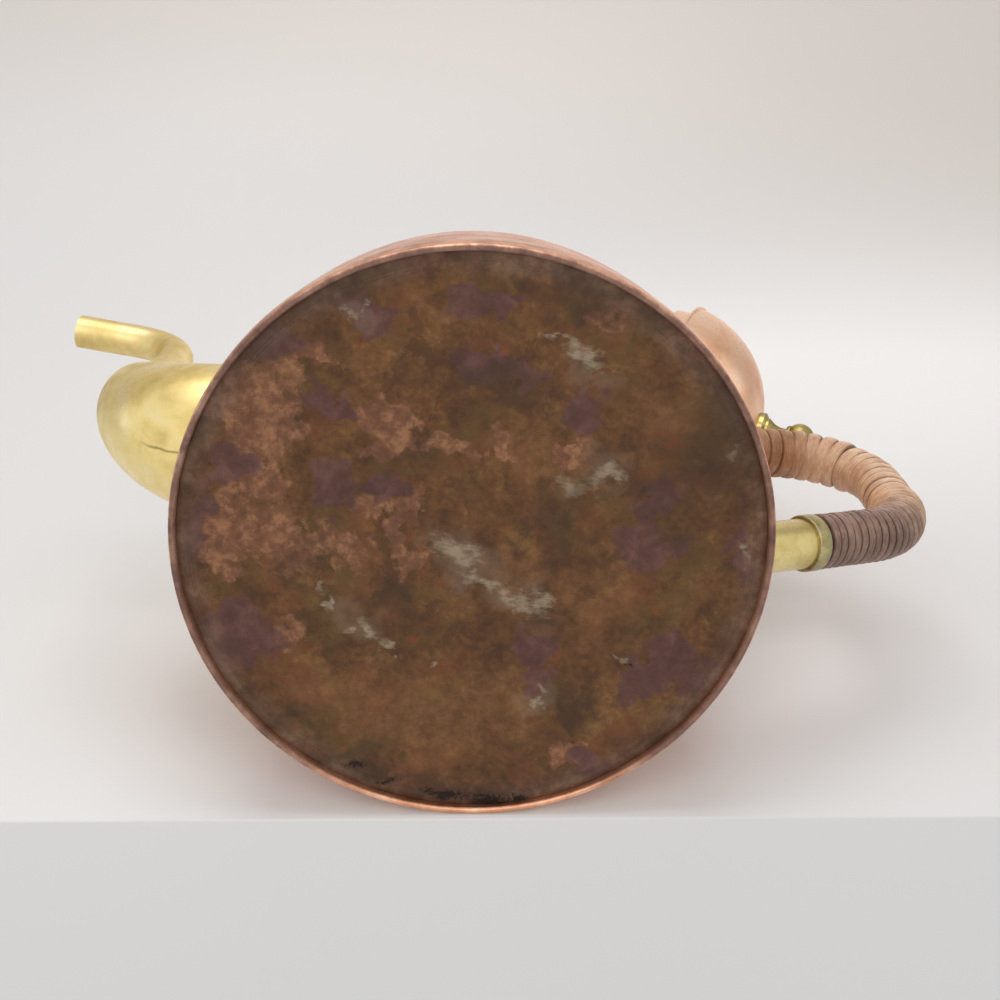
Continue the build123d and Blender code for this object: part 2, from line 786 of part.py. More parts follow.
def main():
    os.makedirs("parts", exist_ok=True)
    side, shoulder = make_side(), make_shoulder()
    low_plate, top_plate = make_low_plate(), make_top_plate()
    body_leaf, lid_leaf = make_hinge_body_leaf(), make_hinge_lid_leaf()
    dome = make_lid_dome()
    write("base_rim", make_base_rim())
    write("base_plate", make_base_plate())
    write("side_wall", side)
    write("shoulder", shoulder)
    write("mouth_ring", make_mouth_ring())
    write("spout_root", make_spout_root())
    write("spout_neck", make_spout_neck())
    write("spout_flange", make_spout_flange())
    write("handle_core", make_handle_core())
    write("cane_grip", make_strand())
    write("lower_plate", low_plate)
    write("lower_socket", make_low_socket())
    write("lower_collar", make_low_collar())
    write("lower_rivets", *rivet_group(low_rivets, grip_through, side, low_plate))
    write("upper_plate", top_plate)
    write("upper_socket", make_top_socket())
    write("upper_collar", make_top_collar())
    write("upper_rivets", *rivet_group(top_rivets, grip_through, shoulder, top_plate))
    write("hinge_body_leaf", body_leaf)
    write("hinge_body_rivets", *rivet_group(hinge_rivets, grip_through, shoulder, body_leaf))
    write("hinge_pin", make_hinge_pin())
    write("hinge_lid_leaf", swung(lid_leaf))
    write("hinge_lid_rivets", *[swung(solid) for solid in
                                rivet_group(lid_rivets, sheet + strap_thickness, dome, lid_leaf)])
    write("lid_dome", swung(dome))
    write("lid_skirt", swung(make_lid_skirt()))
    write("finial_base", swung(make_finial_base()))
    write("finial", swung(make_finial()))
    write("finial_washer", swung(make_finial_washer()))


main()
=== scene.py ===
"""A copper teapot on its side on a pale sheet, seen from under its base.

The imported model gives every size. Blender adds the wound cane, the hammered base with its
heat stains, the worn metals, the sheet that the pot lies on, the light and the camera.
"""

import logging
import math
import random
from collections.abc import Sequence
from dataclasses import dataclass, field
from enum import Enum
from typing import NamedTuple

import bmesh
import bpy
import numpy as np
from mathutils import Matrix, Vector, noise


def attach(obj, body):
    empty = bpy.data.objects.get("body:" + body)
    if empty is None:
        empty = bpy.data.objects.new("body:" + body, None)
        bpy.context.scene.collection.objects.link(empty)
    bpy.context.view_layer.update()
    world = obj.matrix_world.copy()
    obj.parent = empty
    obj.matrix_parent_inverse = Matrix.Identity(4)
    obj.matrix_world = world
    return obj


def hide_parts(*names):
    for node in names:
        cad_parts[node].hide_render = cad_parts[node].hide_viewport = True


log = logging.getLogger("teapot")
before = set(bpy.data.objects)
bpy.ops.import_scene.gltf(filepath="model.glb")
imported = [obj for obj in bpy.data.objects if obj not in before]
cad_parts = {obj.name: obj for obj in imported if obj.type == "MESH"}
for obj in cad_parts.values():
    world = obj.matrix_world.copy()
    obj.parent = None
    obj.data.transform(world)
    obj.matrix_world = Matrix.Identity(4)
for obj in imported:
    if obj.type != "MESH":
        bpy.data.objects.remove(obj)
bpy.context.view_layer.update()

MM = 0.001
MERGE = 0.0005  # corners nearer than this are one, in millimetres
WOBBLE_SHIFTS = ((12.7, 41.3, 2.6), (51.4, 17.9, 8.2))  # places in the noise, one for each way

Tree = bpy.types.NodeTree
Node = bpy.types.Node
Material = bpy.types.Material
Value = bpy.types.Node | bpy.types.NodeSocket | float | str | tuple[float, ...]
Stops = list[tuple[float, str]]
Points = Sequence[tuple[float, float]]

SMOOTH = {"interpolation_type": "SMOOTHSTEP"}  # a MapRange node's soft step
COLOURS = {"data_type": "RGBA"}  # a Mix node for colours
TIMES = {"operation": "MULTIPLY"}
LARGER = {"operation": "MAXIMUM"}


class Body(Enum):
    """The two bodies that the lid's hinge joins."""

    POT = "pot"
    LID = "lid"


class Slot(Enum):
    """Material slots of the record; no piece here takes them."""

    BASE = "stained_copper"
    RIM = "rim_copper"
    CANE = "cane"


def linear(colour: str) -> tuple[float, float, float, float]:
    """Turn an sRGB hex colour into a linear one.

    Args:
        colour: Six hex digits after a hash.

    Returns:
        Red, green, blue and an alpha of 1.
    """
    parts = [int(colour[at:at + 2], 16) / 255 for at in (1, 3, 5)]
    red, green, blue = (p / 12.92 if p <= 0.04045 else ((p + 0.055) / 1.055) ** 2.4 for p in parts)
    return red, green, blue, 1.0


def add_node(tree: Tree, kind: str, values: list[Value] | dict[str, Value] | None = None,
             stops: Stops | None = None, **settings: str) -> Node:
    """Add one shader node with its settings, values and links.

    Args:
        tree: The tree that gets the node.
        kind: The node's type, without its ShaderNode prefix.
        values: What its inputs take, in order or by name: a number, a hex colour, a socket, or a
            node, whose first output in use is taken.
        stops: Places and hex colours of a colour ramp.
        settings: Attributes of the node.

    Returns:
        The new node.
    """
    node = tree.nodes.new("ShaderNode" + kind)
    for name, setting in settings.items():
        setattr(node, name, setting)
    if isinstance(values, dict):
        pairs = [(node.inputs[name], value) for name, value in values.items()]
    else:
        pairs = list(zip((entry for entry in node.inputs if entry.enabled), values or []))
    for entry, value in pairs:
        if isinstance(value, bpy.types.Node):
            value = next(output for output in value.outputs if output.enabled)
        if isinstance(value, bpy.types.NodeSocket):
            tree.links.new(value, entry)
        else:
            entry.default_value = linear(value) if isinstance(value, str) else value
    if stops:
        band = node.color_ramp
        for _ in stops[len(band.elements):]:
            band.elements.new(0.5)
        for element, (place, colour) in zip(band.elements, stops):
            element.position, element.color = place, linear(colour)
    return node


def new_material(name: str) -> tuple[Material, Tree, Node]:
    """Make a node material that has only the place on the object in it.

    Args:
        name: Its name.

    Returns:
        The material, its tree, and the place in millimetres, from Object coordinates.
    """
    made = bpy.data.materials.new(name)
    made.use_nodes = True
    tree = made.node_tree
    tree.nodes.clear()
    place = add_node(tree, "TexCoord").outputs["Object"]
    return made, tree, add_node(tree, "VectorMath", [place, 1 / MM], operation="SCALE")


def from_axis(tree: Tree, place: Value) -> Node:
    """Distance of a place from the pot's upright axis."""
    flat = add_node(tree, "VectorMath", [place, (1, 1, 0)], **TIMES)
    return add_node(tree, "VectorMath", [flat], operation="LENGTH")


def weighed(tree: Tree, *parts: tuple[Value, float], plus: float = 0.0) -> Value:
    """Add values up, each times its weight.

    Args:
        tree: The tree that gets the nodes.
        parts: Pairs of a value and its weight.
        plus: A number added to the sum.

    Returns:
        The sum.
    """
    total: Value | None = None
    for value, weight in parts:
        part = value if weight == 1 else add_node(tree, "Math", [value, weight], **TIMES)
        total = part if total is None else add_node(tree, "Math", [total, part], operation="ADD")
    return add_node(tree, "Math", [total, plus], operation="ADD") if plus else total


def wobble(x: float, y: float, size: float) -> tuple[float, float]:
    """Push of a point sideways by three octaves of noise, about 1 at most.

    Args:
        x: Place in millimetres.
        y: Place in millimetres.
        size: Width of the largest bends in millimetres.

    Returns:
        The push along x and along y.
    """
    spot, push = Vector((x / size, y / size, 0.3)), [0.0, 0.0]
    for octave in range(3):
        for way, shift in enumerate(WOBBLE_SHIFTS):
            push[way] += noise.noise(spot * 2 ** octave + Vector(shift)) * 0.62 ** octave
    return push[0], push[1]


def framed(*axes: Vector) -> Matrix:
    """Matrix whose columns are three axes and a place."""
    return Matrix([[axis[row] for axis in axes] for row in range(3)] + [[0, 0, 0, 1]])


def close_surface(tree: Tree, colour: Value, rough: Value, metal: Value, height: Value,
                  relief: float, coat: float = 0.0) -> None:
    """Join colour, roughness and bump in one shader and put it out.

    Args:
        tree: The material's tree.
        colour: Base colour.
        rough: Roughness.
        metal: Metallic value.
        height: Height pattern from 0 to 1.
        relief: Height of the pattern in millimetres.
        coat: Weight of a clear coat.
    """
    bump = add_node(tree, "Bump", {"Height": height, "Distance": relief * MM})
    shader = add_node(tree, "BsdfPrincipled", {
        "Base Color": colour, "Roughness": rough, "Metallic": metal, "Normal": bump,
        "Coat Weight": coat, "Coat Roughness": 0.3})
    add_node(tree, "OutputMaterial", {"Surface": shader})


@dataclass(frozen=True)
class Cloud:
    """Soft noise over a surface."""

    size: float  # width of a blob in millimetres
    detail: float = 4.0  # octaves of finer noise
    rough: float = 0.55  # how strong the finer noise is
    warp: float = 0.0  # how much the noise bends itself

    def over(self, place: Value) -> dict[str, Value]:
        """Inputs of a noise node that draws it over places in millimetres."""
        return {"Vector": place, "Scale": 1 / self.size, "Detail": self.detail,
                "Roughness": self.rough, "Distortion": self.warp}


@dataclass(frozen=True)
class Seam:
    """Dark soldered seam along the underside of a tube, in millimetres."""

    y: float = 1.1
    end: float = 100.5  # how far out from the pot's middle it shows
    thins: float = 6.0  # it thins out over this length before its end
    wide: float = 0.55
    top: float = 55.0  # it is only on the underside, below this height
    share: float = 0.6
    sway: float = 2.4
    waver: Cloud = Cloud(6)
    tone: str = "#6f6140"

    def draw(self, tree: Tree, place: Value, colour: Value) -> Node:
        """Lay the seam over a metal's colour.

        Args:
            tree: The material's tree.
            place: Place in millimetres.
            colour: The metal's colour.

        Returns:
            The colour with the seam.
        """
        split = add_node(tree, "SeparateXYZ", [place])
        waver = add_node(tree, "TexNoise", self.waver.over(place))
        aside = weighed(tree, (split.outputs["Y"], 1), (waver, self.sway),
                        plus=-self.y - self.sway / 2)
        aside = add_node(tree, "Math", [aside], operation="ABSOLUTE")
        line = add_node(tree, "MapRange", [aside, self.wide * 0.3, self.wide, self.share, 0.0],
                        **SMOOTH)
        for axis, start, end in (("X", self.end - self.thins, self.end),
                                 ("Z", self.top - 2, self.top)):
            limit = add_node(tree, "MapRange", [split.outputs[axis], start, end, 1.0, 0.0],
                             **SMOOTH)
            line = add_node(tree, "Math", [line, limit], **TIMES)
        return add_node(tree, "Mix", [line, colour, self.tone], **COLOURS)


@dataclass(frozen=True)
class WornMetal:
    """Hammered sheet metal, polished and handled for years.

    Soft patches of tone, thin dirt, fine scratches and shallow planishing marks break up its
    reflections.
    """

    name: str
    tones: tuple[str, str, str]  # tarnished, usual and freshly rubbed colour
    grime: str = "#4a3626"
    grime_share: float = 0.12
    roughness: float = 0.26
    spread: float = 0.16  # how far the roughness goes from patch to patch
    blotch: float = 16.0  # size of the tone patches in millimetres
    dent: float = 14.0  # size of the planishing marks
    relief: float = 0.12  # depth of the planishing marks
    stretch: tuple[float, float, float] = (1.0, 0.22, 3.1)  # draws noise out into scratches
    scratches: Cloud = Cloud(1.6, 3, 0.7)
    seam: Seam | None = None

    def material(self) -> Material:
        """Build the finish.

        Returns:
            The material.
        """
        made, tree, place = new_material(self.name)
        patches = add_node(tree, "TexNoise", Cloud(self.blotch, 5, 0.6, 0.3).over(place))
        colour = add_node(tree, "ValToRGB", [patches], list(zip((0.30, 0.50, 0.72), self.tones)))
        dirt = add_node(tree, "TexNoise", Cloud(self.blotch * 0.4, 8, 0.75, 0.6).over(place))
        dirty = add_node(tree, "MapRange", [dirt, 0.58, 0.74, 0.0, self.grime_share], **SMOOTH)
        colour = add_node(tree, "Mix", [dirty, colour, self.grime], **COLOURS)
        if self.seam:
            colour = self.seam.draw(tree, place, colour)
        stretched = add_node(tree, "VectorMath", [place, self.stretch], **TIMES)
        scratches = add_node(tree, "TexNoise", self.scratches.over(stretched))
        half = self.spread / 2
        rough = add_node(tree, "MapRange", [patches, 0.3, 0.7, self.roughness + half,
                                            self.roughness - half], **SMOOTH)
        scratched = add_node(tree, "MapRange", [scratches, 0.5, 0.8, 0.0, 0.12], **SMOOTH)
        rough = weighed(tree, (rough, 1), (scratched, 1), (dirty, 0.5))
        hammered = add_node(tree, "TexNoise", Cloud(self.dent, 1, 0.4).over(place))
        height = weighed(tree, (hammered, 1), (scratches, 0.05))
        close_surface(tree, colour, rough, 1.0, height, self.relief)
        return made


class Stain(NamedTuple):
    """One patch on the base, in millimetres from the middle of the foot."""

    x: float
    y: float
    wide: float
    tall: float
    turn: float = 0.0  # degrees


@dataclass(frozen=True)
class Group:
    """Stains of one kind: how their outlines are torn and how strongly they show."""

    name: str
    bends: float  # size of the bends that tear the outlines, in millimetres
    reach: float  # how far the bends tear them, in millimetres
    start: float  # the stains start to show where strength and patterns add up to this
    full: float  # and show by their share where they add up to this
    share: float
    stains: tuple[tuple[float, ...], ...]  # the numbers of each Stain
    mottle: float = 1.0  # weight of the mottle in that sum
    grit: float = 0.0  # weight of the finer grit
    weight: float = 1.0  # weight of the stains' own strength
    near: tuple[float, float] | None = None  # strengths over which the sum is let in

    def mark(self, mesh: bpy.types.Mesh, spots: np.ndarray, pushes: np.ndarray) -> None:
        """Write the strength of the stains on a mesh, as an attribute.

        Args:
            mesh: The base's mesh.
            spots: Places of its points in millimetres.
            pushes: Pushes of the points for a reach of 1.
        """
        torn = spots + self.reach * pushes
        strongest = np.zeros(len(spots), dtype=np.float32)
        for stain in (Stain(*row) for row in self.stains):
            cos, sin = math.cos(math.radians(stain.turn)), math.sin(math.radians(stain.turn))
            away = torn - (stain.x, stain.y)
            long = (away[:, 0] * cos + away[:, 1] * sin) / stain.wide
            short = (away[:, 1] * cos - away[:, 0] * sin) / stain.tall
            strongest = np.maximum(strongest, 1.6 - np.hypot(long, short))
        layer = mesh.attributes.new("stain_" + self.name, "FLOAT", "POINT")
        layer.data.foreach_set("value", strongest.astype(np.float32))

    def mask(self, tree: Tree, mottle: Value, grit: Value) -> Node:
        """Where the stains show.

        Args:
            tree: The material's tree.
            mottle: The pattern that breaks up their edges.
            grit: A finer pattern.

        Returns:
            The mask.
        """
        strength = add_node(tree, "Attribute", attribute_name="stain_" + self.name).outputs["Fac"]
        parts = ((strength, self.weight), (mottle, self.mottle), (grit, self.grit))
        shown = weighed(tree, *(part for part in parts if part[1]))
        shown = add_node(tree, "MapRange", [shown, self.start, self.full, 0.0, self.share],
                         **SMOOTH)
        if self.near:
            near = add_node(tree, "MapRange", [strength, *self.near], **SMOOTH)
            shown = add_node(tree, "Math", [shown, near], **TIMES)
        return shown


@dataclass(frozen=True)
class StainedBase:
    """Sheet copper that stood on a fire: browned, with purple heat stains and pale scuffs.

    Half metal and half matt crust, so that it shows its own colours more than the room.
    """

    name: str = "heat_stained_copper"
    film: str = "#f4ede1"  # brown film over the whole base
    groups: tuple[Group, ...] = (
        Group("warmth", 8.0, 7, 0.7, 1.9, 0.6, (
            (12, -52, 27, 13, 5), (-36, -14, 13, 11), (-10, -48, 16, 10), (34, -50, 8, 7),
            (-14, 28, 12, 8), (-44, 46, 10, 8), (14, 66, 8, 4), (-14, -8, 8, 6))),
        Group("smoke", 8.0, 7, 0.8, 1.9, 0.55, (
            (26, -69, 12, 4, -22), (14, -75, 15, 5, -10), (-8, -77.5, 20, 4.5, 3),
            (-58, 32, 16, 28, 10), (-20, 70, 30, 6), (44, 66, 16, 5, -30), (-2, 46, 22, 7),
            (-22, 8, 10, 14), (20, -22, 8, 6), (-34, -46, 9, 5), (46, -14, 6, 8))),
        Group("bright", 8.0, 5.5, 1.55, 1.95, 0.88, (
            (61, 30, 13, 15, 20), (66, -8, 8, 17), (58, 10, 6, 10), (29, 30, 11, 8),
            (19, 3, 4, 13, 12), (27, 7, 9, 4), (52, -6, 14, 8), (-37, -60, 9, 6), (8, 25, 9, 4),
            (33, -6, 7, 8), (-26, 66, 8, 4), (18, -8, 4, 8), (46, 46, 9, 3, 15), (48, -34, 5, 5),
            (-4, 30, 5, 2.2, 20), (-22, 30, 5, 3)), mottle=2),
        Group("heat", 8.0, 4.5, 0.98, 1.36, 0.82, (
            (60, -36, 11, 12, 35), (40, 11, 8, 9), (66, 12, 8, 7, 20), (42, 34, 9, 4.5, 10),
            (5, 50, 8, 7), (-6, 49, 8, 4), (24, 13, 6, 7), (-47, 18, 7, 10, 30),
            (-48, 5, 12, 6, -8), (-22, -29, 6, 8), (-24, -38, 6, 5), (-62, -26, 8, 14, -35),
            (-52, -34, 8, 8), (-24, 42, 6, 8), (6, 66, 12, 5), (36, 60, 9, 5, 20), (-73, 8, 3, 12),
            (-42, -62, 7, 5, 40), (58, 50, 7, 5, 45), (74, -4, 3, 14)), mottle=0.9),
        Group("veil", 8.0, 6, 0.9, 1.9, 0.34, (
            (1, -5, 14, 8, 15), (-14, -14, 12, 7, 20), (-30, 24, 10, 8, -20), (-22, 54, 8, 4, 26),
            (-24, -44, 7, 4), (30, -26, 9, 7, 30), (38, 59, 6, 4))),
        Group("scuffs", 4.5, 2.5, 2.1, 2.9, 0.82, (
            (39, 59, 3, 2, 10), (36, 61, 1.5, 1.5), (-22, 56, 9, 3, 26), (-14, 60, 6, 1.5, 20),
            (4, -3, 9, 4, 10), (-5, -11, 10, 2.5, 20), (-16, -15, 9, 4.5, 20), (-21, -14, 4, 4),
            (40, -17, 2, 2.2), (37, -22, 1.6, 5), (30, -30, 2, 1.2), (24, -30, 7, 2.2, 50),
            (19, -34, 3, 1.5, -10), (-32, 25, 8, 4, -20), (-25, 20, 6, 3), (-25, -45, 4, 1.4),
            (-25, -41, 3.5, 1.0), (-74, 8, 1.2, 8), (-45, -27, 3.5, 1.2), (6, -37, 1.5, 1.5),
            (-66, 38, 1.2, 6, 30)), grit=2, weight=0.9, near=(0.05, 0.5)),
        Group("soot", 4.5, 1.2, 1.9, 2.5, 0.9, (
            (24, -71, 4, 1.6, -20), (14, -75, 6, 1.2, -12), (-3, -77.5, 9, 2.4),
            (-15, -77.5, 10, 3.2, 6), (-24, -75.5, 4, 2.8, 16), (-47.5, -29, 1.6, 1.2),
            (-48.5, -30, 1.0, 0.8)), mottle=0, grit=2.4, near=(0.1, 0.5)),
    )

    def mark(self, mesh: bpy.types.Mesh) -> None:
        """Write the strength of each group of stains on the base's mesh.

        Args:
            mesh: The base's mesh, in metres.
        """
        flat = np.empty(len(mesh.vertices) * 3, dtype=np.float32)
        mesh.vertices.foreach_get("co", flat)
        spots = flat.reshape(-1, 3)[:, :2] / MM
        pushes = {size: np.array([wobble(x, y, size) for x, y in spots])
                  for size in {group.bends for group in self.groups}}
        for group in self.groups:
            group.mark(mesh, spots, pushes[group.bends])

    def ragged(self, tree: Tree, place: Value, size: float, reach: float) -> Node:
        """Push places about, so that a pattern on them gets a torn outline.

        Args:
            tree: The material's tree.
            place: Place in millimetres.
            size: Size of the bends in millimetres.
            reach: About three times the largest push in millimetres.

        Returns:
            The pushed place.
        """
        bend = add_node(tree, "TexNoise", Cloud(size, 6, 0.66).over(place)).outputs["Color"]
        centred = add_node(tree, "VectorMath", [bend, (0.5, 0.5, 0.5)], operation="SUBTRACT")
        return add_node(tree, "VectorMath", [centred, (reach, reach, 0), place],
                        operation="MULTIPLY_ADD")

    def tarnish(self, tree: Tree, place: Value, fleck: Value) -> Node:
        """Brown the copper in soft patches of red, olive and earth brown.

        Args:
            tree: The material's tree.
            place: Place in millimetres.
            fleck: The finest pattern.

        Returns:
            The colour.
        """
        patches = add_node(tree, "TexNoise", Cloud(17, 4, 0.55, 0.5).over(place))
        blots = add_node(tree, "TexNoise", Cloud(6, 5, 0.62, 0.3).over(place))
        tone = weighed(tree, (patches, 0.42), (blots, 0.36), (fleck, 0.22))
        colour = add_node(tree, "ValToRGB", [tone], [
            (0.38, "#48301f"), (0.45, "#593b23"), (0.51, "#674629"), (0.56, "#745231"),
            (0.63, "#8c6741")])
        # each: size and reach of the torn outline, pattern, where it starts, is full, share, tone
        for size, reach, pattern, start, full, share, brown in (
                (10, 14, Cloud(24, 4, 0.6), 0.50, 0.60, 0.5, "#5d4a27"),
                (9, 18, Cloud(19, 5, 0.62), 0.50, 0.62, 0.5, "#71442b"),
                (7, 12, Cloud(11, 5, 0.65), 0.60, 0.70, 0.6, "#844628"),
                (12, 20, Cloud(15, 5, 0.66), 0.55, 0.62, 0.55, "#47321f")):
            cloud = add_node(tree, "TexNoise", pattern.over(self.ragged(tree, place, size, reach)))
            mask = add_node(tree, "MapRange", [cloud, start, full, 0.0, share], **SMOOTH)
            colour = add_node(tree, "Mix", [mask, colour, brown], **COLOURS)
        return colour

    def edged(self, tree: Tree, place: Value, colour: Value) -> tuple[Node, Node]:
        """Grey the band inside the rim and turn fine lines round it.

        Args:
            tree: The material's tree.
            place: Place in millimetres.
            colour: The colour so far.

        Returns:
            The colour, and the mask of the lines.
        """
        out = from_axis(tree, place)
        band = add_node(tree, "MapRange", [out, 71.0, 78.5], **SMOOTH)
        band = add_node(tree, "Math", [band, 0.6], **TIMES)
        greys = add_node(tree, "TexNoise", Cloud(12, 5, 0.65).over(place))
        grey = add_node(tree, "ValToRGB", [greys], [
            (0.38, "#4b372d"), (0.52, "#68524a"), (0.64, "#8a7368")])
        colour = add_node(tree, "Mix", [band, colour, grey], **COLOURS)
        coil = add_node(tree, "CombineXYZ", [add_node(tree, "Math", [out, 3.0], **TIMES)])
        rings = add_node(tree, "TexNoise", Cloud(1.0, 3, 0.7).over(coil))
        arcs = add_node(tree, "TexNoise", Cloud(30, 2, 0.5).over(place))
        lines = add_node(tree, "MapRange", [out, 73.5, 76.5], **SMOOTH)
        for pattern, start, full, share in ((arcs, 0.46, 0.58, 1.0), (rings, 0.53, 0.64, 0.6)):
            mask = add_node(tree, "MapRange", [pattern, start, full, 0.0, share], **SMOOTH)
            lines = add_node(tree, "Math", [lines, mask], **TIMES)
        return add_node(tree, "Mix", [lines, colour, "#a39488"], **COLOURS), lines

    def material(self) -> Material:
        """Build the finish: mottled browns, ragged patches, a grey edge with turned lines, soot.

        Returns:
            The material.
        """
        made, tree, place = new_material(self.name)
        wiped = add_node(tree, "Mapping", {"Vector": place, "Rotation": (0, 0, -0.4),
                                           "Scale": (0.3, 1, 1)})
        mottle, fine, grain, bloom, dust, grit = (
            add_node(tree, "TexNoise", cloud.over(at)) for cloud, at in (
                (Cloud(4.5, 7, 0.68, 0.15), place), (Cloud(1.5, 5, 0.7), place),
                (Cloud(4, 6, 0.68, 0.1), place), (Cloud(7, 6, 0.66, 0.5), place),
                (Cloud(1.2, 6, 0.8, 0.6), wiped), (Cloud(0.9, 4, 0.75), place)))
        masks = {group.name: group.mask(tree, mottle, grit if group.name == "soot" else dust)
                 for group in self.groups}
        warm, tan, purple = (add_node(tree, "ValToRGB", [pattern], stops) for pattern, stops in (
            (mottle, [(0.36, "#6e4c2c"), (0.5, "#80593a"), (0.64, "#936a45")]),
            (grain, [(0.38, "#6b4736"), (0.5, "#7f5743"), (0.62, "#a07457")]),
            (bloom, [(0.36, "#513433"), (0.5, "#5e3f40"), (0.64, "#73504e")])))
        colour = self.tarnish(tree, place, fine)
        for kind, tone in (("warmth", warm), ("bright", tan), ("heat", purple),
                           ("veil", "#857468"), ("scuffs", "#aa9d8c")):
            colour = add_node(tree, "Mix", [masks[kind], colour, tone], **COLOURS)
        colour, lines = self.edged(tree, place, colour)
        specks = add_node(tree, "MapRange", [fine, 0.62, 0.78, 0.0, 0.3], **SMOOTH)
        for mask, tone in ((masks["smoke"], "#3f2d20"), (masks["soot"], "#1d1512"),
                           (specks, "#33241a")):
            colour = add_node(tree, "Mix", [mask, colour, tone], **COLOURS)
        colour = add_node(tree, "Mix", [1.0, colour, self.film], blend_type="MULTIPLY", **COLOURS)

        rough = add_node(tree, "MapRange", [mottle, 0.3, 0.7, 0.6, 0.46], **SMOOTH)
        rough = weighed(tree, (rough, 1), (masks["heat"], -0.1), (masks["scuffs"], 0.25),
                        (masks["soot"], 0.25))
        height = weighed(tree, (mottle, 1), (fine, 0.3), (lines, 0.6))
        close_surface(tree, colour, rough, 0.5, height, 0.12)
        return made


@dataclass(frozen=True)
class RimCopper:
    """Folded copper edge, brown and matt on its lip, with painted highlights in bright copper.

    The fold keeps fine lines along it. A painted highlight makes the outermost edge, the walls
    above the lip face and the whole lip on the side towards the sheet bright, shiny copper.
    """

    name: str = "rim_copper_painted_highlight"
    highlight_from: float = 81.6  # radius where the painted highlight of the outer edge starts, in millimetres
    highlight_way: tuple[float, float, float] = (-0.144, -0.99, 0.0)  # towards the side whose lip gets a painted highlight
    highlight_side: tuple[float, float] = (58.0, 79.0)  # the painted highlight starts and is full so far that way
    browns: tuple[str, str, str] = ("#62463d", "#835f51", "#a07c6a")
    coppers: tuple[str, str, str] = ("#b67c5f", "#dca281", "#f5c6a6")

    def material(self) -> Material:
        """Build the finish.

        Returns:
            The material.
        """
        made, tree, place = new_material(self.name)
        radius = from_axis(tree, place)
        up = add_node(tree, "SeparateXYZ", [place]).outputs["Z"]
        patches = add_node(tree, "TexNoise", Cloud(9, 7, 0.7).over(place))
        out = weighed(tree, (radius, 1), (patches, 1.3), plus=-0.65)
        # painted highlights: the outer edge, the walls above the lip face and the lip towards the
        # sheet
        outside = add_node(tree, "MapRange", [out, self.highlight_from - 0.3, self.highlight_from + 0.35],
                           **SMOOTH)
        inside = add_node(tree, "MapRange", [up, 0.35, 0.9, 0.0, 0.65], **SMOOTH)
        along = add_node(tree, "VectorMath", [place, self.highlight_way], operation="DOT_PRODUCT")
        sheet_side_highlight = add_node(tree, "MapRange", [along, *self.highlight_side, 0.0, 0.92], **SMOOTH)
        # the mask of every painted highlight on the rim, which turns it bright, shiny copper
        rubbed = add_node(tree, "Math", [outside, inside], **LARGER)
        rubbed = add_node(tree, "Math", [rubbed, sheet_side_highlight], **LARGER)
        brown = add_node(tree, "ValToRGB", [patches], list(zip((0.35, 0.5, 0.65), self.browns)))
        copper = add_node(tree, "ValToRGB", [patches], list(zip((0.3, 0.5, 0.7), self.coppers)))
        fold = add_node(tree, "CombineXYZ", [add_node(tree, "Math", [way, 4], **TIMES)
                                             for way in (radius, up)])
        lines = add_node(tree, "TexNoise", Cloud(1.4, 4, 0.7).over(fold))
        streak = add_node(tree, "MapRange", [lines, 0.52, 0.66, 0.0, 0.6], **SMOOTH)
        brown = add_node(tree, "Mix", [streak, brown, "#a98d80"], **COLOURS)
        colour = add_node(tree, "Mix", [rubbed, brown, copper], **COLOURS)
        rough = add_node(tree, "MapRange", [rubbed, 0.0, 1.0, 0.55, 0.34], **SMOOTH)
        metal = add_node(tree, "MapRange", [rubbed, 0.0, 1.0, 0.35, 1.0], **SMOOTH)
        close_surface(tree, colour, rough, metal, lines, 0.08)
        return made


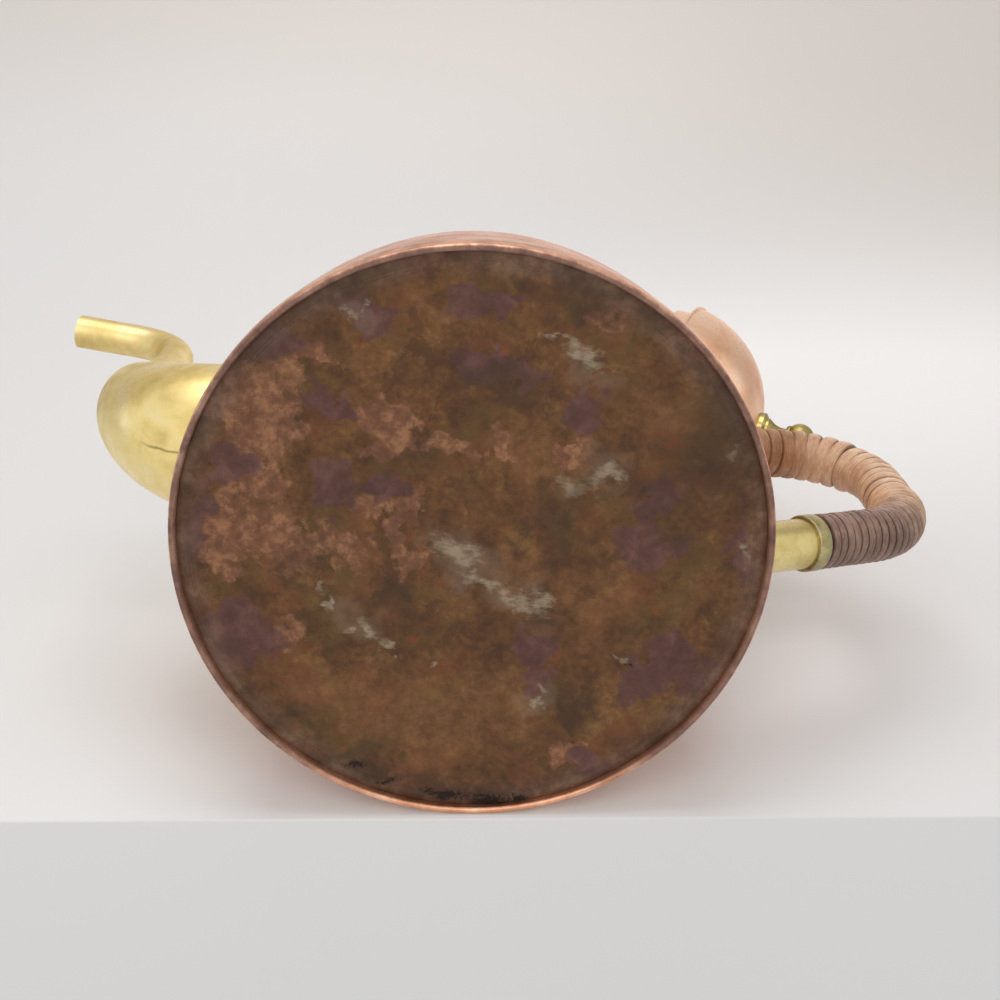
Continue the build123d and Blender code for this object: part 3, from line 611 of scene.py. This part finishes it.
@dataclass(frozen=True)
class CaneSkin:
    """Split cane worn smooth by hands: purple brown below, golden at the bend, amber on top.

    Fibres run along the strip and its edges are darker, less so on the top arm.
    It has a faint waxy gloss.
    """

    name: str = "worn_cane"
    low: tuple[str, str, str] = ("#563f35", "#7b5c4e", "#a98975")
    bend: tuple[str, str, str] = ("#a0785a", "#ca9f7c", "#e6c5a2")
    high: tuple[str, str, str] = ("#744b31", "#986641", "#b88960")
    dirt: str = "#3d2a22"
    stops: tuple[float, float, float] = (0.34, 0.5, 0.66)

    def material(self) -> Material:
        """Build the finish from the strip's own attributes, along and across.

        Returns:
            The material.
        """
        made, tree, place = new_material(self.name)
        along, across = (add_node(tree, "Attribute", attribute_name=name).outputs["Fac"]
                         for name in ("along", "across"))
        run = add_node(tree, "CombineXYZ", [add_node(tree, "Math", [way, share], **TIMES)
                                            for way, share in ((along, 0.16), (across, 2.6))])
        fibres = add_node(tree, "TexNoise", Cloud(0.5, 5, 0.7).over(run))
        patches = add_node(tree, "TexNoise", Cloud(8, 4, 0.6).over(place))
        mixed = weighed(tree, (fibres, 0.55), (patches, 0.45))
        dark, gold, amber = (add_node(tree, "ValToRGB", [mixed], list(zip(self.stops, tones)))
                             for tones in (self.low, self.bend, self.high))
        split = add_node(tree, "SeparateXYZ", [place])
        upward = weighed(tree, (split.outputs["Z"], 1), (patches, 30))
        inward = weighed(tree, (split.outputs["X"], 1), (patches, 12))
        over_bend, near_pot, on_top = (
            add_node(tree, "MapRange", [way, start, full], **SMOOTH)
            for way, start, full in ((upward, 70, 100), (inward, -116, -104), (upward, 100, 120)))
        colour = add_node(tree, "Mix", [over_bend, dark, gold], **COLOURS)
        top = add_node(tree, "Math", [near_pot, on_top], **TIMES)
        colour = add_node(tree, "Mix", [top, colour, amber], **COLOURS)
        # the strip's edges turn darker, less so on the top arm
        aside = add_node(tree, "Math", [across], operation="ABSOLUTE")
        edge = add_node(tree, "MapRange", [aside, 0.55, 1.0, 0.0, 0.7], **SMOOTH)
        fainter_on_top = add_node(tree, "MapRange", [top, 0.0, 1.0, 1.0, 0.45], **SMOOTH)
        edge = add_node(tree, "Math", [edge, fainter_on_top], **TIMES)
        colour = add_node(tree, "Mix", [edge, colour, self.dirt], **COLOURS)
        rough = add_node(tree, "MapRange", [mixed, 0.35, 0.65, 0.58, 0.4], **SMOOTH)
        close_surface(tree, colour, rough, 0.0, fibres, 0.06, 0.12)
        return made


@dataclass(frozen=True)
class VerdigrisBrass:
    """Brass ring with crusts of pale green where damp sat at the edge of the cane."""

    name: str = "verdigris_brass"
    brass: tuple[str, str, str] = ("#7d7048", "#a8996a", "#cfc08a")
    green: str = "#8fa58c"

    def material(self) -> Material:
        """Build the finish.

        Returns:
            The material.
        """
        made, tree, place = new_material(self.name)
        patches = add_node(tree, "TexNoise", Cloud(5, 6, 0.7, 0.4).over(place))
        crust = add_node(tree, "TexNoise", Cloud(2.2, 8, 0.8).over(place))
        colour = add_node(tree, "ValToRGB", [patches], list(zip((0.3, 0.5, 0.7), self.brass)))
        green = add_node(tree, "MapRange", [crust, 0.50, 0.60, 0.0, 0.8], **SMOOTH)
        colour = add_node(tree, "Mix", [green, colour, self.green], **COLOURS)
        close_surface(tree, colour, weighed(tree, (green, 0.4), plus=0.34), 0.8, crust, 0.15)
        return made


@dataclass(frozen=True)
class StageSheet:
    """Satin white board under and behind the pot, seen from its front only.

    A little gloss mirrors the pot softly, and painted shade greys the board up its sweep.
    """

    name: str = "pale_sheet"
    colour: str = "#e0dfde"
    painted_shade_colour: str = "#d3ccc7"  # painted shade, up the sweep behind the pot
    turns: tuple[float, float] = (-70.0, 110.0)  # heights between which the painted shade comes in

    def material(self) -> Material:
        """Build the sheet, which lets light and eye through from behind.

        Returns:
            The material.
        """
        made, tree, place = new_material(self.name)
        # painted shade: the sheet turns greyer towards the top of its sweep
        height = add_node(tree, "SeparateXYZ", [place]).outputs["Y"]
        shade_up_sweep = add_node(tree, "MapRange", [height, *self.turns], **SMOOTH)
        white = add_node(tree, "Mix", [shade_up_sweep, self.colour, self.painted_shade_colour], **COLOURS)
        matt = add_node(tree, "BsdfPrincipled", {"Base Color": white, "Roughness": 0.42,
                                                 "IOR": 1.7})
        clear = add_node(tree, "BsdfTransparent")
        back = add_node(tree, "NewGeometry").outputs["Backfacing"]
        shadow = add_node(tree, "LightPath").outputs["Is Shadow Ray"]
        through = add_node(tree, "Math", [back, shadow], **LARGER)
        mixed = add_node(tree, "MixShader", [through, matt, clear])
        add_node(tree, "OutputMaterial", {"Surface": mixed})
        return made


def dressed(node: str, material: Material) -> None:
    """Give a CAD node's object one material.

    Args:
        node: Name of the node.
        material: Its finish.
    """
    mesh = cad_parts[node].data
    mesh.materials.clear()
    mesh.materials.append(material)
    log.info("%s: %s", node, material.name)


def as_object(bm: bmesh.types.BMesh, name: str, material: Material) -> bpy.types.Object:
    """Turn a bmesh into a smooth object at the origin.

    Args:
        bm: The mesh, in millimetres; it is freed.
        name: Name of the object.
        material: Its finish.

    Returns:
        The new object.
    """
    bmesh.ops.scale(bm, vec=(MM, MM, MM), verts=bm.verts[:])
    mesh = bpy.data.meshes.new(name)
    bm.to_mesh(mesh)
    bm.free()
    mesh.shade_smooth()
    mesh.materials.append(material)
    made = bpy.data.objects.new(name, mesh)
    bpy.context.scene.collection.objects.link(made)
    return made


def finished(bm: bmesh.types.BMesh, name: str, body: Body, material: Material,
             sharp: float) -> bpy.types.Object:
    """Clean a closed bmesh and turn it into an object that rides on a body.

    Args:
        bm: The mesh, in millimetres; it is freed.
        name: Name of the piece.
        body: Body that it rides on.
        material: Its finish.
        sharp: Angle in degrees over which an edge stays sharp.

    Returns:
        The new object.
    """
    bmesh.ops.remove_doubles(bm, verts=bm.verts[:], dist=MERGE)
    bmesh.ops.recalc_face_normals(bm, faces=bm.faces[:])
    made = as_object(bm, name, material)
    made.data.set_sharp_from_angle(angle=math.radians(sharp))
    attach(made, body.value)
    log.info("%s: %d faces, %s", name, len(made.data.polygons), material.name)
    return made


def spun(points: Points, steps: int, closed: bool) -> bmesh.types.BMesh:
    """Spin a profile round the pot's axis.

    Args:
        points: Radius and height of its corners in millimetres, in order.
        steps: Number of steps round.
        closed: Whether the last corner joins the first.

    Returns:
        The mesh.
    """
    bm = bmesh.new()
    corners = [bm.verts.new((radius, 0, height)) for radius, height in points]
    pairs = zip(corners, corners[1:] + corners[:1] if closed else corners[1:])
    edges = [bm.edges.new(pair) for pair in pairs]
    bmesh.ops.spin(bm, geom=corners + edges, cent=(0, 0, 0), axis=(0, 0, 1), angle=2 * math.pi,
                   steps=steps, use_merge=True)
    bmesh.ops.remove_doubles(bm, verts=bm.verts[:], dist=MERGE)
    return bm


@dataclass
class BasePan:
    """The folded rim and the sunken base plate, the part that faces the camera."""

    inner: float = 80.0
    outer: float = 81.9
    # the rim's inside as (outwards from inner, height), then its outside as (inwards from outer,
    # height), with the rolled lip below and the fold line near the top
    inside: Points = ((0, 8.9), (0, 2.6), (0.02, 1.0), (0.16, 0.4), (0.45, 0.08), (0.95, 0))
    outside: Points = ((0.55, 0.1), (0.18, 0.42), (0, 1.1), (0.02, 6.9), (0.22, 7.3), (0.2, 8.2),
                       (0.4, 8.9))
    dents: float = 3.4  # how closely the lip's dents follow each other
    dent_depth: float = 0.1
    dents_below: float = 7.0  # height up to which the dents reach
    level: float = 2.45  # height of the plate's underside
    flat_to: float = 75.5
    fold: Points = ((76.4, 0), (76.9, 0.12), (77.4, 0.14), (77.9, 0.02), (79.0, 0.04), (79.9, 0.2))
    back: Points = ((79.9, 8.95), (78.8, 8.95), (78.8, 4.0), (78.3, 3.55), (0, 3.55))
    waves: Points = ((21, 0.22), (8, 0.07))  # width and depth of the hammer marks
    beaten: float = 0.9  # share of the waves that the plate keeps
    calm_from: float = 76.0  # the marks fade out towards this radius
    calm_over: float = 6.0
    pit: tuple[float, float, float] = (-47.2, -29.8, 0)
    pit_depth: float = 0.5
    pit_width: float = 1.1
    steps: int = 240
    plate_steps: int = 480
    rings: int = 76

    def rim(self, metal: Material) -> None:
        """Lathe the rim with its rolled lip and fold line, and dent it a little.

        Args:
            metal: Its finish.
        """
        profile = [(self.inner + away, height) for away, height in self.inside]
        profile += [(self.outer - away, height) for away, height in self.outside]
        bm = spun(profile, self.steps, True)
        for vert in bm.verts:
            angle = math.atan2(vert.co.y, vert.co.x)
            spot = Vector((math.cos(angle), math.sin(angle), 0)) * self.dents
            wave = noise.noise(spot) * self.dent_depth
            if vert.co.z < self.dents_below:
                vert.co.z += max(0.0, wave) * (1 - vert.co.z / self.dents_below)
        piece = finished(bm, "rim_rolled", Body.POT, metal, 50)
        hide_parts("base_rim")

    def plate(self, stains: StainedBase) -> None:
        """Lathe the base plate, then hammer it into low waves and sink one small pit.

        Args:
            stains: Its finish.
        """
        profile = [(self.flat_to * step / self.rings, self.level)
                   for step in range(self.rings + 1)]
        profile += [(radius, self.level + depth) for radius, depth in self.fold]
        bm = spun(profile + list(self.back), self.plate_steps, False)
        pit = Vector(self.pit)
        for vert in bm.verts:
            radius = math.hypot(vert.co.x, vert.co.y)
            if vert.co.z < self.level + 0.3 and radius < self.calm_from:
                spot = Vector((vert.co.x, vert.co.y, 0))
                calm = min(1.0, (self.calm_from - radius) / self.calm_over)
                wave = sum(noise.noise(spot / width) * depth for width, depth in self.waves)
                hole = self.pit_depth * math.exp(-((spot - pit).length / self.pit_width) ** 2)
                vert.co.z += calm * (abs(wave) * self.beaten + hole)
        piece = finished(bm, "base_hammered", Body.POT, stains.material(), 60)
        stains.mark(piece.data)
        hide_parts("base_plate")


@dataclass
class PotShell:
    """The side, the shoulder and the ring of the mouth."""

    nodes: tuple[str, ...] = ("side_wall", "shoulder", "mouth_ring")

    def dress(self, metal: Material) -> None:
        """Give the shell its copper."""
        for node in self.nodes:
            dressed(node, metal)


@dataclass
class Spout:
    """The brass spout: a full root with its soldered flange, and a slender neck."""

    root: tuple[str, ...] = ("spout_root", "spout_flange")
    neck: str = "spout_neck"

    def dress(self, root: Material, neck: Material) -> None:
        """Give the spout its brass.

        Args:
            root: Finish of the root and its flange.
            neck: Finish of the neck, which hands have rubbed; its darker tone is painted shade.
        """
        for node in self.root:
            dressed(node, root)
        dressed(self.neck, neck)


@dataclass
class HandleLine:
    """Middle line of the handle, in millimetres in the X-Z plane."""

    start: tuple[float, float] = (-79.82, 27.0)
    slope: float = 147.0  # degrees
    # lengths of straights with no turn, and radii of arcs with their turn in degrees
    runs: Points = ((50.54, 0.0), (36.0, -57.0), (24.28, 0.0), (24.0, -106.0), (18.0, 0.0),
                    (34.0, -42.0))

    def at(self, distance: float) -> tuple[Vector, Vector, Vector]:
        """Point, forward way and outward way at a distance.

        Args:
            distance: Distance from the pot's side along the line.

        Returns:
            The point, the unit vector along the line and the one square to it.
        """
        x, z = self.start
        angle, left = math.radians(self.slope), distance
        for size, turn in self.runs:
            reach = size if turn == 0 else size * abs(math.radians(turn))
            step = min(left, reach)
            if turn == 0:
                x, z = x + step * math.cos(angle), z + step * math.sin(angle)
            else:
                after = angle - step / size
                x -= size * (math.sin(after) - math.sin(angle))
                z += size * (math.cos(after) - math.cos(angle))
                angle = after
            left -= step
            if left <= 0:
                break
        along = Vector((math.cos(angle), 0, math.sin(angle)))
        return Vector((x, 0, z)), along, Vector((-along.z, 0, along.x))


@dataclass
class Handle:
    """The cane-wound handle with its brass sockets."""

    line: HandleLine = field(default_factory=HandleLine)
    start: float = 26.6
    change: float = 80.0  # distance at which narrow cane gives way to broad cane
    change_over: float = 14.0
    end: float = 166.9
    core: float = 5.0
    low_pitch: float = 3.0
    high_pitch: float = 5.3
    uneven: float = 0.07  # share by which the strip's width strays
    cover: float = 0.985  # share of its pitch that the strip fills
    bare_at: float = 129.0  # the core shows in a gap of the cane here
    bare: float = 1.0
    narrow: float = 4.0  # a strip below this width is narrow cane
    thick: tuple[float, float, float] = (3.25, 2.9, 3.5)  # narrow, broad, and past the gap
    proud: float = 0.1  # how far a turn stands out or in
    tail: float = 0.55  # share of its thickness that is left at the strip's ends
    flatness: float = 0.68  # 1 for a round strip, less for a flatter one
    corners: int = 12  # of the strip's section
    per_turn: int = 22
    seed: int = 7
    sockets: tuple[str, ...] = (
        "lower_plate", "lower_socket", "upper_plate", "upper_socket", "upper_collar")

    def turns(self) -> list[tuple[float, float]]:
        """Wind the cane from the lower socket to the upper one.

        Returns:
            Distance and strip width at the end of each turn.
        """
        draw = random.Random(self.seed)
        marks = [(self.start + 0.2, self.low_pitch)]
        while marks[-1][0] < self.end - 1.0:
            here = marks[-1][0]
            share = min(1.0, max(0.0, (here - self.change) / self.change_over))
            width = self.low_pitch + (self.high_pitch - self.low_pitch) * share
            width *= 1 + draw.uniform(-self.uneven, self.uneven)
            gap = self.bare if here < self.bare_at <= here + width else 0.0
            marks.append((min(here + width + gap, self.end), width))
        return marks

    def strip_frame(self, marks: list[tuple[float, float]], lifts: list[float],
                    station: int) -> Matrix:
        """Frame of the strip's section at one station.

        Args:
            marks: Distance and width at the end of each turn.
            lifts: How much each turn stands proud.
            station: Number of the station, per_turn to a turn.

        Returns:
            A matrix that takes a unit circle to the section.
        """
        turn = min(station // self.per_turn, len(marks) - 2)
        part = station / self.per_turn - turn
        here, width, lift = (before * (1 - part) + after * part for before, after in zip(
            (*marks[turn], lifts[turn]), (*marks[turn + 1], lifts[turn + 1])))
        last = (len(marks) - 1) * self.per_turn
        settled = min(1.0, 2 * station / self.per_turn, 2 * (last - station) / self.per_turn)
        thick = self.thick[0 if width < self.narrow else 1 if here < self.bare_at else 2]
        thick *= self.tail + (1 - self.tail) * settled
        middle, along, outward = self.line.at(here)
        angle = 2 * math.pi * station / self.per_turn + math.pi / 2
        arm = outward * math.cos(angle) + Vector((0, 1, 0)) * math.sin(angle)
        centre = middle + arm * (self.core + 0.1 + thick / 2 + lift)
        axes = (along * width * 0.5 * self.cover, arm * thick / 2, along.cross(arm), centre)
        return framed(*axes)

    def wind(self, cane: Material) -> None:
        """Draw one flattened strip along the handle, turn after turn, by extruding its section.

        Args:
            cane: Its finish.
        """
        marks = self.turns()
        draw = random.Random(self.seed + 1)
        lifts = [draw.uniform(-self.proud, self.proud) for _ in marks]
        bm = bmesh.new()
        along, across = (bm.verts.layers.float.new(name) for name in ("along", "across"))
        ring = bmesh.ops.create_circle(bm, segments=self.corners, radius=1.0)["verts"]
        edges = list({edge for vert in ring for edge in vert.link_edges})
        for vert in ring:
            vert[across] = vert.co.x
            vert.co.x = math.copysign(abs(vert.co.x) ** self.flatness, vert.co.x)
            vert.co.y = math.copysign(abs(vert.co.y) ** self.flatness, vert.co.y)
        last, travel = Matrix(), 0.0
        for station in range((len(marks) - 1) * self.per_turn + 1):
            if station:
                made = bmesh.ops.extrude_edge_only(bm, edges=edges)["geom"]
                ring = [item for item in made if isinstance(item, bmesh.types.BMVert)]
                edges = [item for item in made if isinstance(item, bmesh.types.BMEdge)
                         and all(vert in ring for vert in item.verts)]
            place = self.strip_frame(marks, lifts, station)
            bmesh.ops.transform(bm, matrix=place @ last.inverted(), verts=ring)
            travel += (place.translation - last.translation).length if station else 0.0
            for vert in ring:
                vert[along] = travel
            last = place
        bmesh.ops.holes_fill(bm, edges=bm.edges[:], sides=self.corners)
        piece = finished(bm, "cane_winding", Body.POT, cane, 60)
        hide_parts("cane_grip")

    def dress(self, brass: Material, core: Material, green: Material) -> None:
        """Give the metal of the handle its finishes.

        Args:
            brass: Finish of the plates and sockets.
            core: Finish of the bar under the cane.
            green: Finish of the lower collar.
        """
        for node in self.sockets:
            dressed(node, brass)
        dressed("handle_core", core)
        dressed("lower_collar", green)


@dataclass
class HingedLid:
    """The domed lid with its finial, the hinge that carries it, and the pot's rivets."""

    copper: tuple[str, ...] = ("lid_dome", "lid_skirt")
    knob: tuple[str, ...] = ("finial_base", "finial", "finial_washer")
    hinge: tuple[str, ...] = ("hinge_body_leaf", "hinge_pin", "hinge_lid_leaf")
    rivets: tuple[str, ...] = (
        "hinge_body_rivets", "hinge_lid_rivets", "lower_rivets", "upper_rivets")

    def dress(self, copper: Material, knob: Material, brass: Material, rivet: Material) -> None:
        """Give each group of pieces its finish.

        Args:
            copper: Finish of the dome and its skirt.
            knob: Finish of the finial.
            brass: Finish of the hinge.
            rivet: Finish of the rivets.
        """
        for nodes, metal in ((self.copper, copper), (self.knob, knob), (self.hinge, brass),
                             (self.rivets, rivet)):
            for node in nodes:
                dressed(node, metal)


@dataclass
class PaleStage:
    """The pale sheet that the pot lies on, swept up behind it."""

    rest_radius: float = 82.0
    below: float = 0.2  # gap between the rim and the sheet
    lean: float = 4.2  # the sheet touches both the rim and the side, in degrees
    roll: float = 8.26  # how far the pot is rolled on the sheet, in degrees
    near: float = -1.6  # front edge of the board, just before the rim
    bevel: float = 0.6  # width of the bevel on that edge
    drop: float = -900.0
    far: float = 420.0
    sweep: float = 300.0
    sweep_steps: int = 24
    top: float = 1500.0
    half_width: float = 2200.0

    def build(self, sheet: Material) -> None:
        """Extrude the sheet's profile sideways, with its front towards the pot.

        Args:
            sheet: Its finish.
        """
        turn, roll = math.radians(self.lean), math.radians(self.roll)
        rise = Vector((math.sin(roll), math.cos(roll), 0))
        across = Vector((math.cos(roll), -math.sin(roll), 0))
        away = rise * math.sin(turn) + Vector((0, 0, math.cos(turn)))
        up = rise * math.cos(turn) - Vector((0, 0, math.sin(turn)))
        rest = rise * (-self.rest_radius - self.below)
        profile = [(self.near, self.drop), (self.near, -self.bevel), (self.near + self.bevel, 0.0),
                   (self.far, 0.0)]
        for step in range(1, self.sweep_steps + 1):
            angle = math.pi / 2 * step / self.sweep_steps
            profile.append((self.far + self.sweep * math.sin(angle),
                            self.sweep * (1 - math.cos(angle))))
        profile.append((self.far + self.sweep, self.top))
        bm = bmesh.new()
        corners = [bm.verts.new(rest + away * a + up * b - across * self.half_width)
                   for a, b in profile]
        edges = [bm.edges.new(pair) for pair in zip(corners, corners[1:])]
        made = bmesh.ops.extrude_edge_only(bm, edges=edges)["geom"]
        moved = [item for item in made if isinstance(item, bmesh.types.BMVert)]
        bmesh.ops.translate(bm, vec=across * 2 * self.half_width, verts=moved)
        bm.faces.ensure_lookup_table()
        bm.normal_update()
        if bm.faces[0].normal.dot(away) > 0:
            bmesh.ops.reverse_faces(bm, faces=bm.faces[:])
        as_object(bm, "pale_sheet", sheet)


@dataclass
class PhotoCamera:
    """The camera, where the photograph's perspective puts it, in millimetres."""

    place: tuple[float, float, float] = (18.17, 149.41, -392.1)
    right: tuple[float, float, float] = (-0.9896, 0.1437, -0.0100)
    up: tuple[float, float, float] = (0.1324, 0.9347, 0.3297)
    focal: float = 1.5595  # in widths of the frame
    sensor: float = 36.0

    def back(self) -> Vector:
        """Unit vector from the pot towards the camera."""
        return Vector(self.right).cross(Vector(self.up)).normalized()

    def build(self) -> None:
        """Create the camera and make it the scene's own."""
        data = bpy.data.cameras.new("photo_camera")
        data.sensor_width = self.sensor
        data.sensor_fit = "HORIZONTAL"
        data.lens = self.focal * self.sensor
        data.clip_start, data.clip_end = 0.01, 20.0
        camera = bpy.data.objects.new("photo_camera", data)
        back, up = self.back(), Vector(self.up).normalized()
        right = up.cross(back).normalized()
        camera.matrix_world = framed(right, back.cross(right), back, Vector(self.place) * MM)
        bpy.context.scene.collection.objects.link(camera)
        bpy.context.scene.camera = camera


@dataclass(frozen=True)
class SoftLamp:
    """One square soft lamp: where it is seen from the pot, how far, how wide and how strong."""

    name: str
    side: float  # towards the picture's right
    rise: float  # towards the picture's top
    front: float  # towards the camera
    distance: float = 0.95  # metres
    width: float = 0.7  # metres
    watts: float = 3.0
    aim: tuple[float, float, float] = (0, 0, 0.07)  # the pot's middle in metres

    def build(self, camera: PhotoCamera) -> None:
        """Create the lamp and point it at the pot.

        Args:
            camera: The camera that side, rise and front are seen from.
        """
        way = (Vector(camera.right) * self.side + Vector(camera.up) * self.rise
               + camera.back() * self.front).normalized()
        data = bpy.data.lights.new(self.name, "AREA")
        data.shape = "SQUARE"
        data.size = self.width
        data.energy = self.watts
        lamp = bpy.data.objects.new(self.name, data)
        lamp.location = Vector(self.aim) + way * self.distance
        lamp.rotation_euler = way.to_track_quat("Z", "Y").to_euler()
        bpy.context.scene.collection.objects.link(lamp)


@dataclass(frozen=True)
class Daylight:
    """The room's even light, paler where the eye or a polished surface sees it."""

    room: str = "#dcdcdc"
    strength: float = 0.9
    seen: str = "#f6f5f3"

    def build(self) -> None:
        """Create the world."""
        world = bpy.data.worlds.new("daylight")
        bpy.context.scene.world = world
        world.use_nodes = True
        tree = world.node_tree
        tree.nodes.clear()
        rays = add_node(tree, "LightPath")
        room = add_node(tree, "Background", [self.room, self.strength])
        seen = add_node(tree, "Background", [self.seen, 1.0])
        looked = rays.outputs["Is Camera Ray"]
        for ray in ("Is Transmission Ray", "Is Glossy Ray"):
            looked = add_node(tree, "Math", [looked, rays.outputs[ray]], **LARGER)
        mixed = add_node(tree, "MixShader", [looked, room, seen])
        add_node(tree, "OutputWorld", {"Surface": mixed})


def studio() -> None:
    """Camera, lamps, daylight and the sheet under the pot."""
    camera = PhotoCamera()
    camera.build()
    for lamp in (SoftLamp("key", -0.08, 1.0, 0.25, watts=3.5),
                 SoftLamp("front", -0.15, 0.25, 1.0, distance=1.2, width=0.9, watts=3.3),
                 SoftLamp("rear", 0.5, 0.7, -1.0, distance=1.1, watts=2.8),
                 SoftLamp("under", 0.2, -1.0, -0.3, distance=1.1, width=1.0, watts=2.4)):
        lamp.build(camera)
    Daylight().build()
    PaleStage().build(StageSheet().material())


def build_teapot() -> None:
    """Dress every sub-assembly of the pot in order."""
    # raised copper sheet, hammered and polished: warm orange with broken, soft reflections
    copper = WornMetal("polished_copper", ("#b4765a", "#dc9672", "#f2bb98"))
    # a smoother copper dome, tinned and worn through: pale pink
    lid = WornMetal("pink_lid_copper", ("#e2ac8a", "#f9caa8", "#fedcc0"), roughness=0.3,
                    spread=0.1, grime_share=0.08)
    # sheet brass rolled to a tube and soldered: pale yellow with a dark seam below
    brass = WornMetal("pale_spout_brass", ("#cdb470", "#efd892", "#fae9b6"), grime="#6a5c34",
                      roughness=0.33, seam=Seam())
    # the same brass where cloths rubbed it matt, in darker tones that are painted shade
    neck = WornMetal("rubbed_neck_brass_painted_shade", ("#c4ac6c", "#e0c888", "#eedaa6"), grime="#6a5c34",
                     roughness=0.42)
    # brass plate and tube round the handle and hinge: golden, with green brown dirt
    fitting = WornMetal("worn_fitting_brass", ("#a38d52", "#cbb676", "#e8d79a"), grime="#55502c",
                        grime_share=0.3, roughness=0.3)
    # brass bar shaded by the cane: dull olive
    core = WornMetal("dull_core_brass", ("#8c8250", "#aa9c62", "#c8b878"), grime="#4a4628",
                     roughness=0.42)
    # turned brass that fingers lift the lid by: deep gold
    knob = WornMetal("rubbed_knob_brass", ("#8f7c48", "#b7a468", "#dcc98c"), grime="#4c432a",
                     roughness=0.3)
    # copper rivets, hammered flat: pinkish brown
    rivet = WornMetal("rivet_copper", ("#8c5c44", "#b57f60", "#d8a684"), roughness=0.34)

    pan = BasePan()
    pan.rim(RimCopper().material())
    pan.plate(StainedBase())
    PotShell().dress(copper.material())
    Spout().dress(brass.material(), neck.material())
    handle = Handle()
    handle.wind(CaneSkin().material())
    fitted = fitting.material()
    handle.dress(fitted, core.material(), VerdigrisBrass().material())
    HingedLid().dress(lid.material(), knob.material(), fitted, rivet.material())


def main() -> None:
    """Build the studio and the pot."""
    logging.basicConfig(level=logging.INFO, format="%(name)s: %(message)s")
    bpy.context.scene.view_settings.view_transform = "Standard"
    studio()
    build_teapot()


if __name__ == "__main__":
    main()
